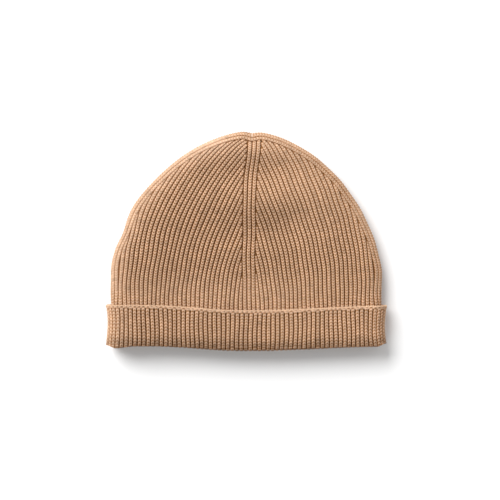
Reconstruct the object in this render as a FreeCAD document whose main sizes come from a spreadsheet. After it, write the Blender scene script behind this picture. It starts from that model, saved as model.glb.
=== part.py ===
import FreeCAD, Part
import math
import os

import Sketcher
from FreeCAD import Vector

# Ribbed knit hat with a turned-up cuff, lying flat on its back.
# Frame: millimetres, +X to the right, +Y from the cuff's fold to the crown's tip, +Z up from the
# surface it lies on. The origin is the centre of the footprint, on that surface.

os.makedirs("parts", exist_ok=True)
document = FreeCAD.newDocument("knit_hat")

# Driving dimensions, in millimetres unless the name says share.
DIMENSIONS = {
    "hat_length": 176.0,          # fold of the cuff to the crown's tip
    "cuff_half_width": 112.4,     # centre line to the outside of the turn-up, lying flat
    "cuff_thickness": 22.0,       # all the plies of the cuff, lying flat
    "cuff_height": 33.0,          # fold to cast-on edge
    "cast_on_height": 3.0,        # the cast-on edge's own height
    "crown_thickness": 20.0,      # both plies of the crown and the air between them
    "ply": 3.0,                   # one thickness of rib knit
    "turn_gap": 0.4,              # air between the turn-up and the body under it
    "split": 0.3,                 # clearance between pieces that move apart
    "edge_flat": 1.0,             # straight stretch between the two rounds of a side fold
    "crown_start": 61.0,          # fold to the first decrease
    "handle_share": 0.461,        # fullness of the crown's outline, as a share of its half axes
    "flare_start": 34.0,          # fold to where the body spreads from under the cuff
    "flare_length": 6.0,
    "spine_half_width": 5.15,     # half of the three ribs down the middle
    "side_band": 7.0,             # three ribs along each side fold, seen from the front
    "seam_half_width": 1.2,
    "seam_height": 1.2,
    "seam_tip_gap": 18.0,         # crown's tip to the upper end of the seam's ridge
    "knot_radius": 2.8,
    "label_width": 26.0,          # seam to the fold of the label
    "label_height": 30.0,
    "label_thickness": 0.6,
    "label_start": 44.0,          # fold of the cuff to the label's lower edge
    "reach": 140.0,               # longer than any stretch of the hat from its origin
}

sheet = document.addObject("Spreadsheet::Sheet", "Sizes")
for row, (alias, number) in enumerate(DIMENSIONS.items(), start=1):
    cell = "B%d" % row
    sheet.set("A%d" % row, alias)
    sheet.set(cell, str(number))
    sheet.setAlias(cell, alias)
document.recompute()


class Size:
    """A length with its number and the sheet expression that gives it."""

    def __init__(self, value, text):
        self.value = float(value)
        self.text = text

    def join(self, other, symbol, value):
        text = other.text if isinstance(other, Size) else repr(float(other))
        return Size(value, "(%s %s %s)" % (self.text, symbol, text))

    def __add__(self, other):
        return self.join(other, "+", self.value + number_of(other))

    def __sub__(self, other):
        return self.join(other, "-", self.value - number_of(other))

    def __mul__(self, other):
        return self.join(other, "*", self.value * number_of(other))

    def __neg__(self):
        return Size(-self.value, "(0 - %s)" % self.text)


def number_of(size):
    return size.value if isinstance(size, Size) else float(size)


def from_sheet(alias):
    return Size(DIMENSIONS[alias], "Sizes." + alias)


# Sizes worked out from the driving dimensions.
ply = from_sheet("ply")
split = from_sheet("split")
cuff_middle = from_sheet("cuff_thickness") * 0.5
crown_middle = from_sheet("crown_thickness") * 0.5
tip_y = from_sheet("hat_length") * 0.5
fold_y = -tip_y
cuff_top_y = fold_y + from_sheet("cuff_height")
cast_on_y = cuff_top_y - from_sheet("cast_on_height")
crown_y = fold_y + from_sheet("crown_start")
flare_low_y = fold_y + from_sheet("flare_start")
flare_high_y = flare_low_y + from_sheet("flare_length")
body_half_width = from_sheet("cuff_half_width") - ply - from_sheet("turn_gap")
neck_half_height = cuff_middle - ply - from_sheet("turn_gap")
roll_radius = ply + from_sheet("turn_gap") * 0.5
roll_y = fold_y + roll_radius
turn_radius = cuff_middle - split * 0.5
turn_centre_x = from_sheet("cuff_half_width") - turn_radius
reach = from_sheet("reach")


def origin_plane(body, role):
    return next(plane for plane in body.Origin.OriginFeatures if plane.Role == role)


def sketch_on(body, name, role, offset=None):
    """Empty sketch on one of the body's own planes, moved along the plane's normal."""
    sketch = body.newObject("Sketcher::SketchObject", name)
    sketch.AttachmentSupport = [(origin_plane(body, role), "")]
    sketch.MapMode = "FlatFace"
    if offset is not None:
        sketch.setExpression("AttachmentOffset.Base.z", offset.text)
    return sketch


def bind(sketch, constraint, size):
    """Add a dimension to a sketch and bind it to the sheet."""
    index = sketch.addConstraint(constraint)
    name = "size_%d" % index
    sketch.renameConstraint(index, name)
    sketch.setExpression("Constraints." + name, size.text)


def pin(sketch, geometry, point, x=None, y=None):
    """Fix a point's place from the sketch's origin, along one axis or both."""
    for kind, size, axis in (("DistanceX", x, -2), ("DistanceY", y, -1)):
        if size is None:
            continue
        if abs(size.value) < 1e-9:
            sketch.addConstraint(Sketcher.Constraint("PointOnObject", geometry, point, axis))
        elif size.value > 0:
            bind(sketch, Sketcher.Constraint(kind, -1, 1, geometry, point, size.value), size)
        else:
            back = -size
            bind(sketch, Sketcher.Constraint(kind, geometry, point, -1, 1, back.value), back)


def add_line(sketch, start, end):
    return sketch.addGeometry(Part.LineSegment(Vector(*start, 0), Vector(*end, 0)), False)


def add_arc(sketch, centre, radius, start_deg, end_deg):
    circle = Part.Circle(Vector(*centre, 0), Vector(0, 0, 1), radius)
    arc = Part.ArcOfCircle(circle, math.radians(start_deg), math.radians(end_deg))
    return sketch.addGeometry(arc, False)


def join_ends(sketch, pairs, kind="Coincident"):
    for first, first_point, second, second_point in pairs:
        sketch.addConstraint(Sketcher.Constraint(kind, first, first_point, second, second_point))


def crown_curve(sketch, x_side):
    """Half of the crown's outline, from the side to the tip: a cubic curve of four poles."""
    width, height = body_half_width.value, tip_y.value - crown_y.value
    share = DIMENSIONS["handle_share"]
    poles = [Vector(x_side * width, crown_y.value, 0),
             Vector(x_side * width, crown_y.value + share * height, 0),
             Vector(x_side * share * width, tip_y.value, 0),
             Vector(0, tip_y.value, 0)]
    curve = Part.BSplineCurve()
    curve.buildFromPolesMultsKnots(poles, [4, 4], [0, 1], False, 3)
    index = sketch.addGeometry(curve, False)
    sketch.exposeInternalGeometry(index)
    return index


def outline_sketch(body, name, inset, start_y, offset):
    """Plan of the hat from start_y up to the tip, drawn in by inset all round."""
    sketch = sketch_on(body, name, "XY_Plane", offset)
    half_width = body_half_width - inset
    top_y = tip_y - inset
    side = half_width.value
    low, high = start_y.value, crown_y.value
    mouth = add_line(sketch, (-side, low), (side, low))
    right = add_line(sketch, (side, low), (side, high))
    left = add_line(sketch, (-side, high), (-side, low))
    right_curve = crown_curve(sketch, 1)
    left_curve = crown_curve(sketch, -1)
    join_ends(sketch, [(mouth, 2, right, 1), (right, 2, right_curve, 1),
                       (right_curve, 2, left_curve, 2), (left_curve, 1, left, 1),
                       (left, 2, mouth, 1)])
    share = from_sheet("handle_share")
    handle_y = crown_y + share * (top_y - crown_y)
    for sign, line_point, side_line, curve in ((1, 2, right, right_curve), (-1, 1, left, left_curve)):
        side_x = half_width if sign > 0 else -half_width
        handle_x = share * side_x
        pin(sketch, mouth, 2 if sign > 0 else 1, side_x, start_y)
        pin(sketch, side_line, line_point, side_x, crown_y)
        pin(sketch, curve + 2, 3, side_x, handle_y)
        pin(sketch, curve + 3, 3, handle_x, top_y)
    pin(sketch, right_curve, 2, Size(0, "0"), top_y)
    return sketch


def section_sketch(body, name, half_width, middle, half_height, at_y):
    """Rounded flat section of the hat across its length, at one distance along it."""
    sketch = sketch_on(body, name, "XZ_Plane", -at_y)
    low, high = middle - half_height, middle + half_height
    radius = half_height - from_sheet("edge_flat") * 0.5
    w, r = half_width.value, radius.value
    bottom = add_line(sketch, (r - w, low.value), (w - r, low.value))
    right = add_line(sketch, (w, low.value + r), (w, high.value - r))
    top = add_line(sketch, (w - r, high.value), (r - w, high.value))
    left = add_line(sketch, (-w, high.value - r), (-w, low.value + r))
    corners = [add_arc(sketch, centre, r, start, start + 90) for centre, start in (
        ((w - r, low.value + r), 270), ((w - r, high.value - r), 0),
        ((r - w, high.value - r), 90), ((r - w, low.value + r), 180))]
    lines = (bottom, right, top, left)
    for number, corner in enumerate(corners):
        join_ends(sketch, [(lines[number], 2, corner, 1),
                           (corner, 2, lines[(number + 1) % 4], 1)], "Tangent")
    for line in (bottom, top):
        sketch.addConstraint(Sketcher.Constraint("Horizontal", line))
    for line in (right, left):
        sketch.addConstraint(Sketcher.Constraint("Vertical", line))
    for corner in corners[1:]:
        sketch.addConstraint(Sketcher.Constraint("Equal", corners[0], corner))
    pin(sketch, right, 1, x=half_width)
    pin(sketch, left, 1, x=-half_width)
    pin(sketch, bottom, 1, y=low)
    pin(sketch, top, 1, y=high)
    bind(sketch, Sketcher.Constraint("Radius", corners[0], r), radius)
    return sketch


def pad(body, sketch, length, both_ways=False):
    feature = body.newObject("PartDesign::Pad", sketch.Name + "_pad")
    feature.Profile = sketch
    feature.setExpression("Length", length.text)
    feature.Midplane = both_ways
    document.recompute()
    return feature


def round_edges(body, base, radius, chosen):
    """Fillet the edges of the base feature that the test chooses."""
    names = ["Edge%d" % (number + 1) for number, edge in enumerate(base.Shape.Edges) if chosen(edge)]
    feature = body.newObject("PartDesign::Fillet", base.Name + "_round")
    feature.Base = (base, names)
    feature.setExpression("Radius", radius.text)
    document.recompute()
    return feature


def hat_form(name, inset, mouth_y):
    """Solid form of the hat: a crown with rounded sides, a flare, and a neck inside the cuff."""
    body = document.addObject("PartDesign::Body", name)
    half_width = body_half_width - inset
    half_height = crown_middle - inset
    neck_height = neck_half_height - inset
    low = crown_middle - half_height
    outline = outline_sketch(body, name + "_outline", inset, flare_high_y, low)
    crown = pad(body, outline, half_height * 2)

    def on_a_rim(edge):
        box = edge.BoundBox
        return box.ZLength < 1e-6 and box.YLength > 1e-6

    round_edges(body, crown, half_height - from_sheet("edge_flat") * 0.5, on_a_rim)
    wide = section_sketch(body, name + "_wide", half_width, crown_middle, half_height, flare_high_y)
    narrow = section_sketch(body, name + "_narrow", half_width, cuff_middle, neck_height, flare_low_y)
    flare = body.newObject("PartDesign::AdditiveLoft", name + "_flare")
    flare.Profile = wide
    flare.Sections = [narrow]
    flare.Ruled = True
    neck = section_sketch(body, name + "_neck", half_width, cuff_middle, neck_height, flare_low_y)
    pad(body, neck, flare_low_y - mouth_y)
    return body


def box_zone(name, x_low, x_high, z_low, z_high):
    """Block that reaches past the hat along its length, for cutting it into panels."""
    box = document.addObject("Part::Box", name)
    box.setExpression("Length", (x_high - x_low).text)
    box.setExpression("Width", (reach * 2).text)
    box.setExpression("Height", (z_high - z_low).text)
    box.setExpression("Placement.Base.x", x_low.text)
    box.setExpression("Placement.Base.y", (-reach).text)
    box.setExpression("Placement.Base.z", z_low.text)
    return box


def piece_of(label, kind, first, second):
    """Boolean of two objects, as a piece of its own."""
    piece = document.addObject(kind, label)
    piece.Base = first
    piece.Tool = second
    return piece


def knit_panels():
    """Body of the hat: four quarters, and between them four strips of fashioning ribs."""
    zero = Size(0, "0")
    outer = hat_form("hat_outer", zero, roll_y)
    hollow = hat_form("hat_hollow", ply, fold_y - ply)
    inner_zone = document.addObject("PartDesign::Body", "inner_zone")
    plan = outline_sketch(inner_zone, "inner_zone_plan", from_sheet("side_band"), -reach, -reach)
    pad(inner_zone, plan, reach * 2)
    shell = piece_of("knit_shell", "Part::Cut", outer, hollow)
    flat_plies = piece_of("flat_plies", "Part::Common", shell, inner_zone)
    side_folds = piece_of("side_folds", "Part::Cut", shell, inner_zone)

    spine = from_sheet("spine_half_width")
    pieces = {}
    for face, z_low, z_high in (("front", crown_middle, reach), ("back", -reach, crown_middle)):
        for side, x_low, x_high in (("left_quarter", -reach, -spine), ("right_quarter", spine, reach),
                                    ("fashioning_ribs", -spine, spine)):
            label = "%s_%s" % (face, side)
            zone = box_zone(label + "_zone", x_low, x_high, z_low, z_high)
            pieces[label] = piece_of(label, "Part::Common", flat_plies, zone)
    for side, x_low, x_high in (("left", -reach, zero), ("right", zero, reach)):
        label = side + "_fashioning_ribs"
        zone = box_zone(label + "_zone", x_low, x_high, -reach, reach)
        pieces[label] = piece_of(label, "Part::Common", side_folds, zone)
    return pieces, hollow


def closing_knot(hollow):
    """Knot of the yarn that draws the last stitches together, inside the tip."""
    ball = document.addObject("Part::Sphere", "knot_ball")
    ball.setExpression("Radius", "Sizes.knot_radius")
    ball.setExpression("Placement.Base.y", (tip_y - ply).text)
    ball.setExpression("Placement.Base.z", crown_middle.text)
    return piece_of("crown_closing_yarn", "Part::Common", ball, hollow)


def back_seam():
    """Ridge of linked stitches up the middle of the back, on the inside."""
    body = document.addObject("PartDesign::Body", "back_seam")
    sketch = sketch_on(body, "seam_side", "YZ_Plane")
    height = from_sheet("seam_height")
    neck_z = cuff_middle - neck_half_height + ply
    end_y = tip_y - from_sheet("seam_tip_gap")
    low_line = [(roll_y, neck_z), (flare_low_y, neck_z), (flare_high_y, ply), (end_y, ply)]
    corners = low_line + [(y, z + height) for y, z in reversed(low_line)]
    count = len(corners)
    lines = []
    for number, (y, z) in enumerate(corners):
        next_y, next_z = corners[(number + 1) % count]
        lines.append(add_line(sketch, (y.value, z.value), (next_y.value, next_z.value)))
    join_ends(sketch, [(lines[n], 2, lines[(n + 1) % count], 1) for n in range(count)])
    for line, (y, z) in zip(lines, corners):
        pin(sketch, line, 1, y, z)
    pad(body, sketch, from_sheet("seam_half_width") * 2, both_ways=True)
    return body


def care_label():
    """Blank folded label that lies on the inside of the back, sewn in along the seam."""
    body = document.addObject("PartDesign::Body", "care_label")
    sketch = sketch_on(body, "label_plan", "XY_Plane", ply)
    left = from_sheet("seam_half_width")
    right = left + from_sheet("label_width")
    low = fold_y + from_sheet("label_start")
    high = low + from_sheet("label_height")
    corners = [(left, low), (right, low), (right, high), (left, high)]
    lines = [add_line(sketch, (x.value, y.value), (corners[(n + 1) % 4][0].value,
                                                  corners[(n + 1) % 4][1].value))
             for n, (x, y) in enumerate(corners)]
    join_ends(sketch, [(lines[n], 2, lines[(n + 1) % 4], 1) for n in range(4)])
    for line, (x, y) in zip(lines, corners):
        pin(sketch, line, 1, x, y)
    pad(body, sketch, from_sheet("label_thickness"))
    return body


def half_ring_sketch(body, name, face_sign, top_y):
    """Section of half the turn-up: a ply that lies on the body and curls round both side folds."""
    sketch = sketch_on(body, name, "XZ_Plane", -top_y)
    centre_z = cuff_middle + split * (0.5 * face_sign)
    outer, inner = turn_radius, turn_radius - ply
    c, z = turn_centre_x.value, centre_z.value
    right_span = (0, 90) if face_sign > 0 else (270, 360)
    left_span = (90, 180) if face_sign > 0 else (180, 270)
    right_flat, right_end = (2, 1) if face_sign > 0 else (1, 2)
    left_flat, left_end = right_end, right_flat
    flats, rights, lefts = [], [], []
    for radius in (outer, inner):
        level = z + face_sign * radius.value
        flats.append(add_line(sketch, (-c, level), (c, level)))
        rights.append(add_arc(sketch, (c, z), radius.value, *right_span))
        lefts.append(add_arc(sketch, (-c, z), radius.value, *left_span))
        join_ends(sketch, [(flats[-1], 2, rights[-1], right_flat),
                           (flats[-1], 1, lefts[-1], left_flat)], "Tangent")
        bind(sketch, Sketcher.Constraint("Radius", rights[-1], radius.value), radius)
        sketch.addConstraint(Sketcher.Constraint("Equal", rights[-1], lefts[-1]))
        pin(sketch, rights[-1], 3, turn_centre_x, centre_z)
        pin(sketch, lefts[-1], 3, -turn_centre_x, centre_z)
        pin(sketch, rights[-1], right_end, y=centre_z)
        pin(sketch, lefts[-1], left_end, y=centre_z)
    for sign, arcs, end in ((1, rights, right_end), (-1, lefts, left_end)):
        cut = add_line(sketch, (sign * (c + outer.value), z), (sign * (c + inner.value), z))
        join_ends(sketch, [(arcs[0], end, cut, 1), (cut, 2, arcs[1], end)])
    return sketch


def turn_up_half(label, face_sign):
    """Half of the turned-up cuff, from just above the fold to its cast-on edge."""
    body = document.addObject("PartDesign::Body", label)
    sketch = half_ring_sketch(body, label + "_section", face_sign, cast_on_y)
    pad(body, sketch, cast_on_y - roll_y - split)
    return body


def cast_on_half(label, face_sign):
    """Rounded cast-on edge along the top of half the turn-up."""
    body = document.addObject("PartDesign::Body", label)
    sketch = half_ring_sketch(body, label + "_section", face_sign, cuff_top_y)
    strip = pad(body, sketch, from_sheet("cast_on_height"))
    end_z = cuff_middle.value + face_sign * split.value / 2
    top = cuff_top_y.value

    def on_top(edge):
        box = edge.BoundBox
        along_cut = box.ZLength < 1e-6 and abs(box.ZMin - end_z) < 1e-6
        return box.YLength < 1e-6 and abs(box.YMin - top) < 1e-6 and not along_cut

    round_edges(body, strip, ply * 0.4, on_top)
    return body


def fold_roll(label, face_sign):
    """Half of the fold itself: the knit turning back on itself round the mouth."""
    body = document.addObject("PartDesign::Body", label)
    centre_z = cuff_middle + split * (0.5 * face_sign)
    path_radius = turn_radius - roll_radius
    end_x = turn_centre_x + path_radius
    path = sketch_on(body, label + "_path", "XZ_Plane", -roll_y)
    c, z, r = turn_centre_x.value, centre_z.value, path_radius.value
    up = face_sign > 0
    first = add_arc(path, (-c, z), r, *((90, 180) if up else (180, 270)))
    flat = add_line(path, (-c, z + face_sign * r), (c, z + face_sign * r))
    last = add_arc(path, (c, z), r, *((0, 90) if up else (270, 360)))
    first_flat, first_end = (1, 2) if up else (2, 1)
    join_ends(path, [(first, first_flat, flat, 1), (flat, 2, last, first_end)], "Tangent")
    bind(path, Sketcher.Constraint("Radius", first, r), path_radius)
    path.addConstraint(Sketcher.Constraint("Equal", first, last))
    pin(path, first, 3, -turn_centre_x, centre_z)
    pin(path, last, 3, turn_centre_x, centre_z)
    pin(path, first, first_end, y=centre_z)
    pin(path, last, first_flat, y=centre_z)

    profile = sketch_on(body, label + "_profile", "XY_Plane", centre_z)
    x, y, radius = -end_x.value, roll_y.value, roll_radius.value
    bow = add_arc(profile, (x, y), radius, 180, 360)
    chord = add_line(profile, (x + radius, y), (x - radius, y))
    join_ends(profile, [(bow, 2, chord, 1), (chord, 2, bow, 1)])
    pin(profile, bow, 3, -end_x, roll_y)
    pin(profile, bow, 1, y=roll_y)
    pin(profile, bow, 2, y=roll_y)
    bind(profile, Sketcher.Constraint("Radius", bow, radius), roll_radius)

    pipe = body.newObject("PartDesign::AdditivePipe", label + "_pipe")
    pipe.Profile = profile
    pipe.Spine = (path, ["Edge1", "Edge2", "Edge3"])
    document.recompute()
    expected = math.pi * radius ** 2 / 2 * (math.pi * r + 2 * c)
    if abs(pipe.Shape.Volume / expected - 1) > 0.01:
        raise RuntimeError("%s has volume %.1f, not %.1f" % (label, pipe.Shape.Volume, expected))
    return body


pieces, hollow = knit_panels()
pieces["crown_closing_yarn"] = closing_knot(hollow)
pieces["back_seam"] = back_seam()
pieces["care_label"] = care_label()
for face, face_sign in (("front", 1), ("back", -1)):
    for label, make in ((face + "_fold", fold_roll), (face + "_turn_up", turn_up_half),
                        (face + "_cast_on_edge", cast_on_half)):
        pieces[label] = make(label, face_sign)
document.recompute()

failed = [thing.Name for thing in document.Objects
          if "Invalid" in thing.State or "Error" in thing.State]
if failed:
    raise RuntimeError("failed objects: " + ", ".join(failed))
for label, piece in pieces.items():
    piece.Label = label
    shape = piece.Shape
    if shape.isNull() or not shape.isValid() or len(shape.Solids) != 1:
        raise RuntimeError("%s is not one valid solid" % label)
    shape.exportStep("parts/%s.step" % label)
    box = shape.optimalBoundingBox()
    print("%-24s %9.1f mm3  x %.1f..%.1f  y %.1f..%.1f  z %.1f..%.1f" % (
        label, shape.Volume, box.XMin, box.XMax, box.YMin, box.YMax, box.ZMin, box.ZMax))
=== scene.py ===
"""Ribbed camel-wool beanie with a turned-up cuff: the knitted surfaces, rib by rib.

Lengths are in millimetres until a mesh is made, and a mesh is in metres. X is to the hat's
right, Y runs from the folded edge to the crown's tip, and Z is up from the surface it lies on.
"""
import math

import bpy
import numpy as np
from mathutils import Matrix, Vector


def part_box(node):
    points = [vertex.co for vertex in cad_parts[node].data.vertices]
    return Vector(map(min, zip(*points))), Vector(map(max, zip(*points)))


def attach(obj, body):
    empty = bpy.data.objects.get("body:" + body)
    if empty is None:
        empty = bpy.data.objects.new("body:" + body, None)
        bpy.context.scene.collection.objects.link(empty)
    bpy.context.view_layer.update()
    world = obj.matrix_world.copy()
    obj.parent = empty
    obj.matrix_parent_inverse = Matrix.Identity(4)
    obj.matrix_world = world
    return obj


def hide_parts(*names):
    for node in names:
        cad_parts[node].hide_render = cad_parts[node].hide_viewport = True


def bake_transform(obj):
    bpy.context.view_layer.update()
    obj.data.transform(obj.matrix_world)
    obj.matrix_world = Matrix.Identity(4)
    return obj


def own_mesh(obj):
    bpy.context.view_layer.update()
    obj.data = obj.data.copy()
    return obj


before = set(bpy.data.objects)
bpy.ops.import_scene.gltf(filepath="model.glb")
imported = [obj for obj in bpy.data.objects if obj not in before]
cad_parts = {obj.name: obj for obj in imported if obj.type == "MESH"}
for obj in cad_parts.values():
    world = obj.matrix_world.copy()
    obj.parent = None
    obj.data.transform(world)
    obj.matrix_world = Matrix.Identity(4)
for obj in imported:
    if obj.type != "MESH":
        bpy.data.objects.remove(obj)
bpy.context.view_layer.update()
MM = 0.001
rng = np.random.default_rng(41)


def box_mm(node):
    """A CAD node's lowest and highest corners at rest, in millimetres."""
    low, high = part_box(node)
    return np.array(low) / MM, np.array(high) / MM


# ---------------------------------------------------------------- sizes from the frame
# Every width is measured from the hat's middle line.
CUFF_HIGH = box_mm("front_turn_up")[1]
FOLD_LOW, FOLD_HIGH = box_mm("front_fold")
CAST_LOW = box_mm("front_cast_on_edge")[0]
PANEL_HIGH = box_mm("front_left_quarter")[1]
BAND_HIGH = box_mm("right_fashioning_ribs")[1]

# One layer of the knit, and the same layer stretched round the fold.
PLY = 3.0
FOLD_PLY = 2.0
# Room for the outline's raised stitches, between the cuff and the body inside it, between the
# cuff's front and back at its side folds, and along the fold's hinge line.
OUTLINE_ROOM = 0.6
TURN_ROOM = 0.4
SPLIT_ROOM = 0.15
HINGE_ROOM = 0.25

FOLD_Y = FOLD_LOW[1]
ROLL_Y = FOLD_HIGH[1]
ROLL_RADIUS = ROLL_Y - FOLD_Y
BODY_LOW = ROLL_Y + HINGE_ROOM
CAST_Y = CAST_LOW[1]
TIP_Y = BAND_HIGH[1]
CROWN_TOP = PANEL_HIGH[2]
CUFF_TOP = CUFF_HIGH[2]
MIDDLE = CUFF_TOP / 2
CUFF_WIDTH = CUFF_HIGH[0]
BODY_WIDTH = BAND_HIGH[0] - OUTLINE_ROOM
NECK_HALF = MIDDLE - PLY - TURN_ROOM
CROWN_HALF = CROWN_TOP / 2

# ---------------------------------------------------------------- the knitting
# A stitch is three rows of points long. The body's pitch is from rib to rib, CUFF_RIBS counts
# the ribs from the cuff's middle round to its side fold, and the spine's and the side band's
# half widths are in ribs.
STITCH = 2.3
ROW = STITCH / 3
BODY_PITCH = 3.43
CUFF_RIBS = 33.5
SPINE_HALF = 1.5
BAND_HALF = 2.5

# Places across a rib, from -1 to 1: on its outer face, and then back across its underside,
# which is plain, or knitted like the face. CREST is the part between a stitch's two legs.
OUTER_S = np.array([-1, -0.86, -0.66, -0.38, 0, 0.38, 0.66, 0.86, 1])
PLAIN_S = np.array([0.7, 0.25, -0.25, -0.7])
DOUBLE_S = np.array([0.86, 0.66, 0.38, 0, -0.38, -0.66, -0.86])
CREST = 0.1

# A rib's relief: its groove's depth, the share of its width that is round, the crease between
# two stitches, how much of it each of the three rows has, and the crease between the legs.
GROOVE = 1.75
RIB_SHARE = 0.89
CREASE = 0.46
ROW_CREASE = np.array([1.0, 0.3, 0.0])
MID_CREASE = 0.34
# The legs run ahead of the crest in a V, less so on a rib narrower than V_HALF.
CHEVRON = 1.4
V_HALF = 1.7
LEG_ANGLE = math.radians(33)
# Neighbours overlap a little. A rib tapers to END_WIDTH at its end, and a panel's rib ends
# where its neighbours leave it less than NARROWEST, a share of the pitch.
OVERLAP = 1.04
END_WIDTH = 0.35
NARROWEST = 0.28
# A rib's relief follows its width, between these shares of the whole.
RELIEF_LEAST, RELIEF_MOST = 0.3, 1.05
# The small differences of hand: in height along a rib and from rib to rib, and in tone from
# stitch to stitch and from rib to rib.
WOBBLE, WOBBLE_ROWS, ANY_PHASE = 0.05, 17, 6.28
RIB_HEIGHTS = 0.03
STITCH_TONE, RIB_TONE, STRAND_TONE = 0.8, 0.5, 0.7

# Painted shade: the wool's colour runs from its groove colour to its crest colour with how open
# to the light a place is, from 0 at the groove's foot to 1: on the crest, what the groove and the
# gap between the legs take away, what the crease takes away at each place across the rib, on a
# plain underside, and at a rib's tapered end.
CREST_OPEN, GROOVE_SHADE, LEG_SHADE = 1.02, 0.84, 0.10
CREASE_S, CREASE_SHADE = [0, 0.38, 0.66, 0.86, 1], [1.10, 0.34, 0.62, 0.75, 0.35]
UNDER_OPEN, END_OPEN, STRAND_OPEN = 0.35, 0.4, 0.95
# Where the wool's texture is read: anywhere in YARN_SPREAD, with the two legs LEG_APART.
YARN_SPREAD, LEG_APART = 90, 7

# ---------------------------------------------------------------- the body's shape
CROWN_Y = -27.2
CROWN_LENGTH = TIP_Y - CROWN_Y
OUTLINE_POWER = 1.75
# The powers of the section's edges, where a higher one is squarer, and the heights over which
# the edges soften and the section thickens above the cuff.
FRONT_EDGE = 6.0
BACK_EDGE = 8.0
NECK_EDGE = 14.0
FLARE_Y = (-56.0, -44.0)
RISE_Y = (-56.0, -16.0)

# How far the ribs lean towards the middle, in degrees, from the crown's start (0) to its tip
# (1): beside the spine, and beside the side band.
LEAN_SHARE = [-0.20, 0.04, 0.24, 0.45, 0.66, 0.80, 0.87, 0.93]
LEAN_SPINE = [0, 17, 23, 26, 32, 37, 41, 51]
LEAN_SIDE = [0, 2, 8, 21, 32, 38, 43, 57]
RIGHT_STRAIGHTER = 0.80
# The spine's x, how much further right it is near the tip, and the heights between which it
# drifts. The side bands meet at TIP_MEET.
SPINE_PLACE, SPINE_DRIFT, SPINE_Y = 2.2, 1.8, (20, 80)
TIP_MEET = 2.0

# ---------------------------------------------------------------- the lie of the cloth
# A zone has soft edges. Each pair is where one of its sides begins and where it is full:
# right, left, out (both ways across), up, down, and rim, towards the outline.

# The cuff's lines rise towards its ends, by this much over this distance, left and right. The
# fold rises less, and the lines are level again up the body. The fold flattens at its ends.
SAG_LEFT, SAG_RIGHT = (4.1, 75), (3.6, 110)
SAG_START = 0.05
FOLD_SAG = 0.46
SAG_Y, SAG_SHARE = [ROLL_Y, CAST_Y, -46, -12], [FOLD_SAG, 1, 1, 0]
ROLL_FLAT = 0.62
# The left corner droops, both corners are rounded, and the ends draw in between the edges.
CORNER_DROOP, LEFT_CORNER = 1.5, {"left": (88, 104), "down": (-64, -84)}
CORNER_ROUND, CORNERS = 3.0, {"out": (103, 113), "down": (-82, -88)}
CUFF_WAIST, CUFF_ENDS = 0.9, {"out": (80, 108)}
WAIST_LOW, WAIST_LENGTH = -86, 30
# The left outline has a dent, and the tip leans right.
SIDE_DENT, LEFT_DENT = 1.9, {"up": (-8, 8), "down": (32, 6), "left": (75, 105)}
TIP_SKEW, UPPER_HALF = 2.4, {"up": (30, 88)}
# Waves: the height, the lengths across and up, and the phase. Hollows: the depth, the middle,
# and the reach across and up.
MEANDERS = [(0.32, 23, 10.5, 0), (0.18, -8.3, 5.1, 1.0)]
TOP_WAVES = [(0.45, 21, 34, 0.6), (0.36, 33, -17, 2.1)]
TIP_GATHER = (2.4, (TIP_MEET, TIP_Y - 6), (5, 8))
BOWL = (2.4, (0, 8), (62, 40))
RIGHT_HOLLOW = (1.8, (38, 19), (13, 12))
TIP_HOLLOW = (1.8, (6, 57), (30, 11))
# The ripple across the upper front: its height, the distance from ridge to ridge, a ridge's y,
# and its middle and reach across. All of this relief is above TOP_Z, and fades at the cuff.
RIPPLE, RIPPLE_STEP, RIPPLE_RIDGE = 2.1, 45.0, 29.0
RIPPLE_X, RIPPLE_REACH = 12, 36
RIPPLE_ZONE = {"up": (-22, 8), "down": (90, 74)}
TOP_Z, TOP_ZONE = (9, 19), {"up": (-50, -30)}

# Painted light and shade in the grooves: in each zone they are painted lighter, or a little
# darker where the share is negative, by this much, and the inner zones stop at the left rim.
LEFT_RIM = {"rim": (0.70, 0.96), "left": (5, 30), "up": (-52, -40)}
RIGHT_RIM = {"rim": (0.80, 0.96), "right": (60, 95), "up": (-52, -40), "down": (44, 24)}
TIP_ZONE = {"up": (52, 86)}
UPPER_RIGHT = {"up": (-15, 25), "right": (-10, 60)}
NECK_ZONE = {"up": (-58, -54), "down": (-18, -50), "left": (-80, -20)}
LEFT_CUFF_END = {"left": (80, 102), "down": (-52, -58)}
MIDDLE_ZONE = {"up": (-42, -20), "down": (50, 10)}
LEFT_RIM_LIGHT = 0.45
LIGHTER_GROOVE_ZONES = [(0.26, TIP_ZONE), (0.14, UPPER_RIGHT), (0.24, RIGHT_RIM), (0.17, LEFT_CUFF_END)]
INNER_ZONES = [(0.15, NECK_ZONE), (-0.08, MIDDLE_ZONE)]
# Painted shade on the fold's outside, which begins at FOLD_SHELL from its axis: it is darkest at
# its lowest, and fades over FOLD_FADE.
FOLD_SHADE, FOLD_FADE, FOLD_SHELL = 7.5, 14, (1.6, 3.0)


def smooth(x, start, full):
    """0 up to start, 1 from full on, and a smooth step between; full may be the lower one."""
    t = np.clip((x - start) / (full - start), 0, 1)
    return t * t * (3 - 2 * t)


def unit(vectors):
    """The vectors, one to a row, at length 1."""
    return vectors / np.linalg.norm(vectors, axis=1)[:, None]


def outline_reach(x, y):
    """How near the plan point (x, y) is to the body's outline, where it is 1."""
    share = np.clip((y - CROWN_Y) / CROWN_LENGTH, 0, 1)
    return (np.abs(x) / BODY_WIDTH) ** OUTLINE_POWER + share**OUTLINE_POWER


def outline_width(y):
    """Half the body's width at the height y."""
    share = np.clip((y - CROWN_Y) / CROWN_LENGTH, 0, 1)
    return BODY_WIDTH * (1 - share**OUTLINE_POWER) ** (1 / OUTLINE_POWER)


def section_at(y):
    """The section's middle height and half thickness at the height y."""
    loose = smooth(y, *RISE_Y)
    return MIDDLE + (CROWN_HALF - MIDDLE) * loose, NECK_HALF + (CROWN_HALF - NECK_HALF) * loose


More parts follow.
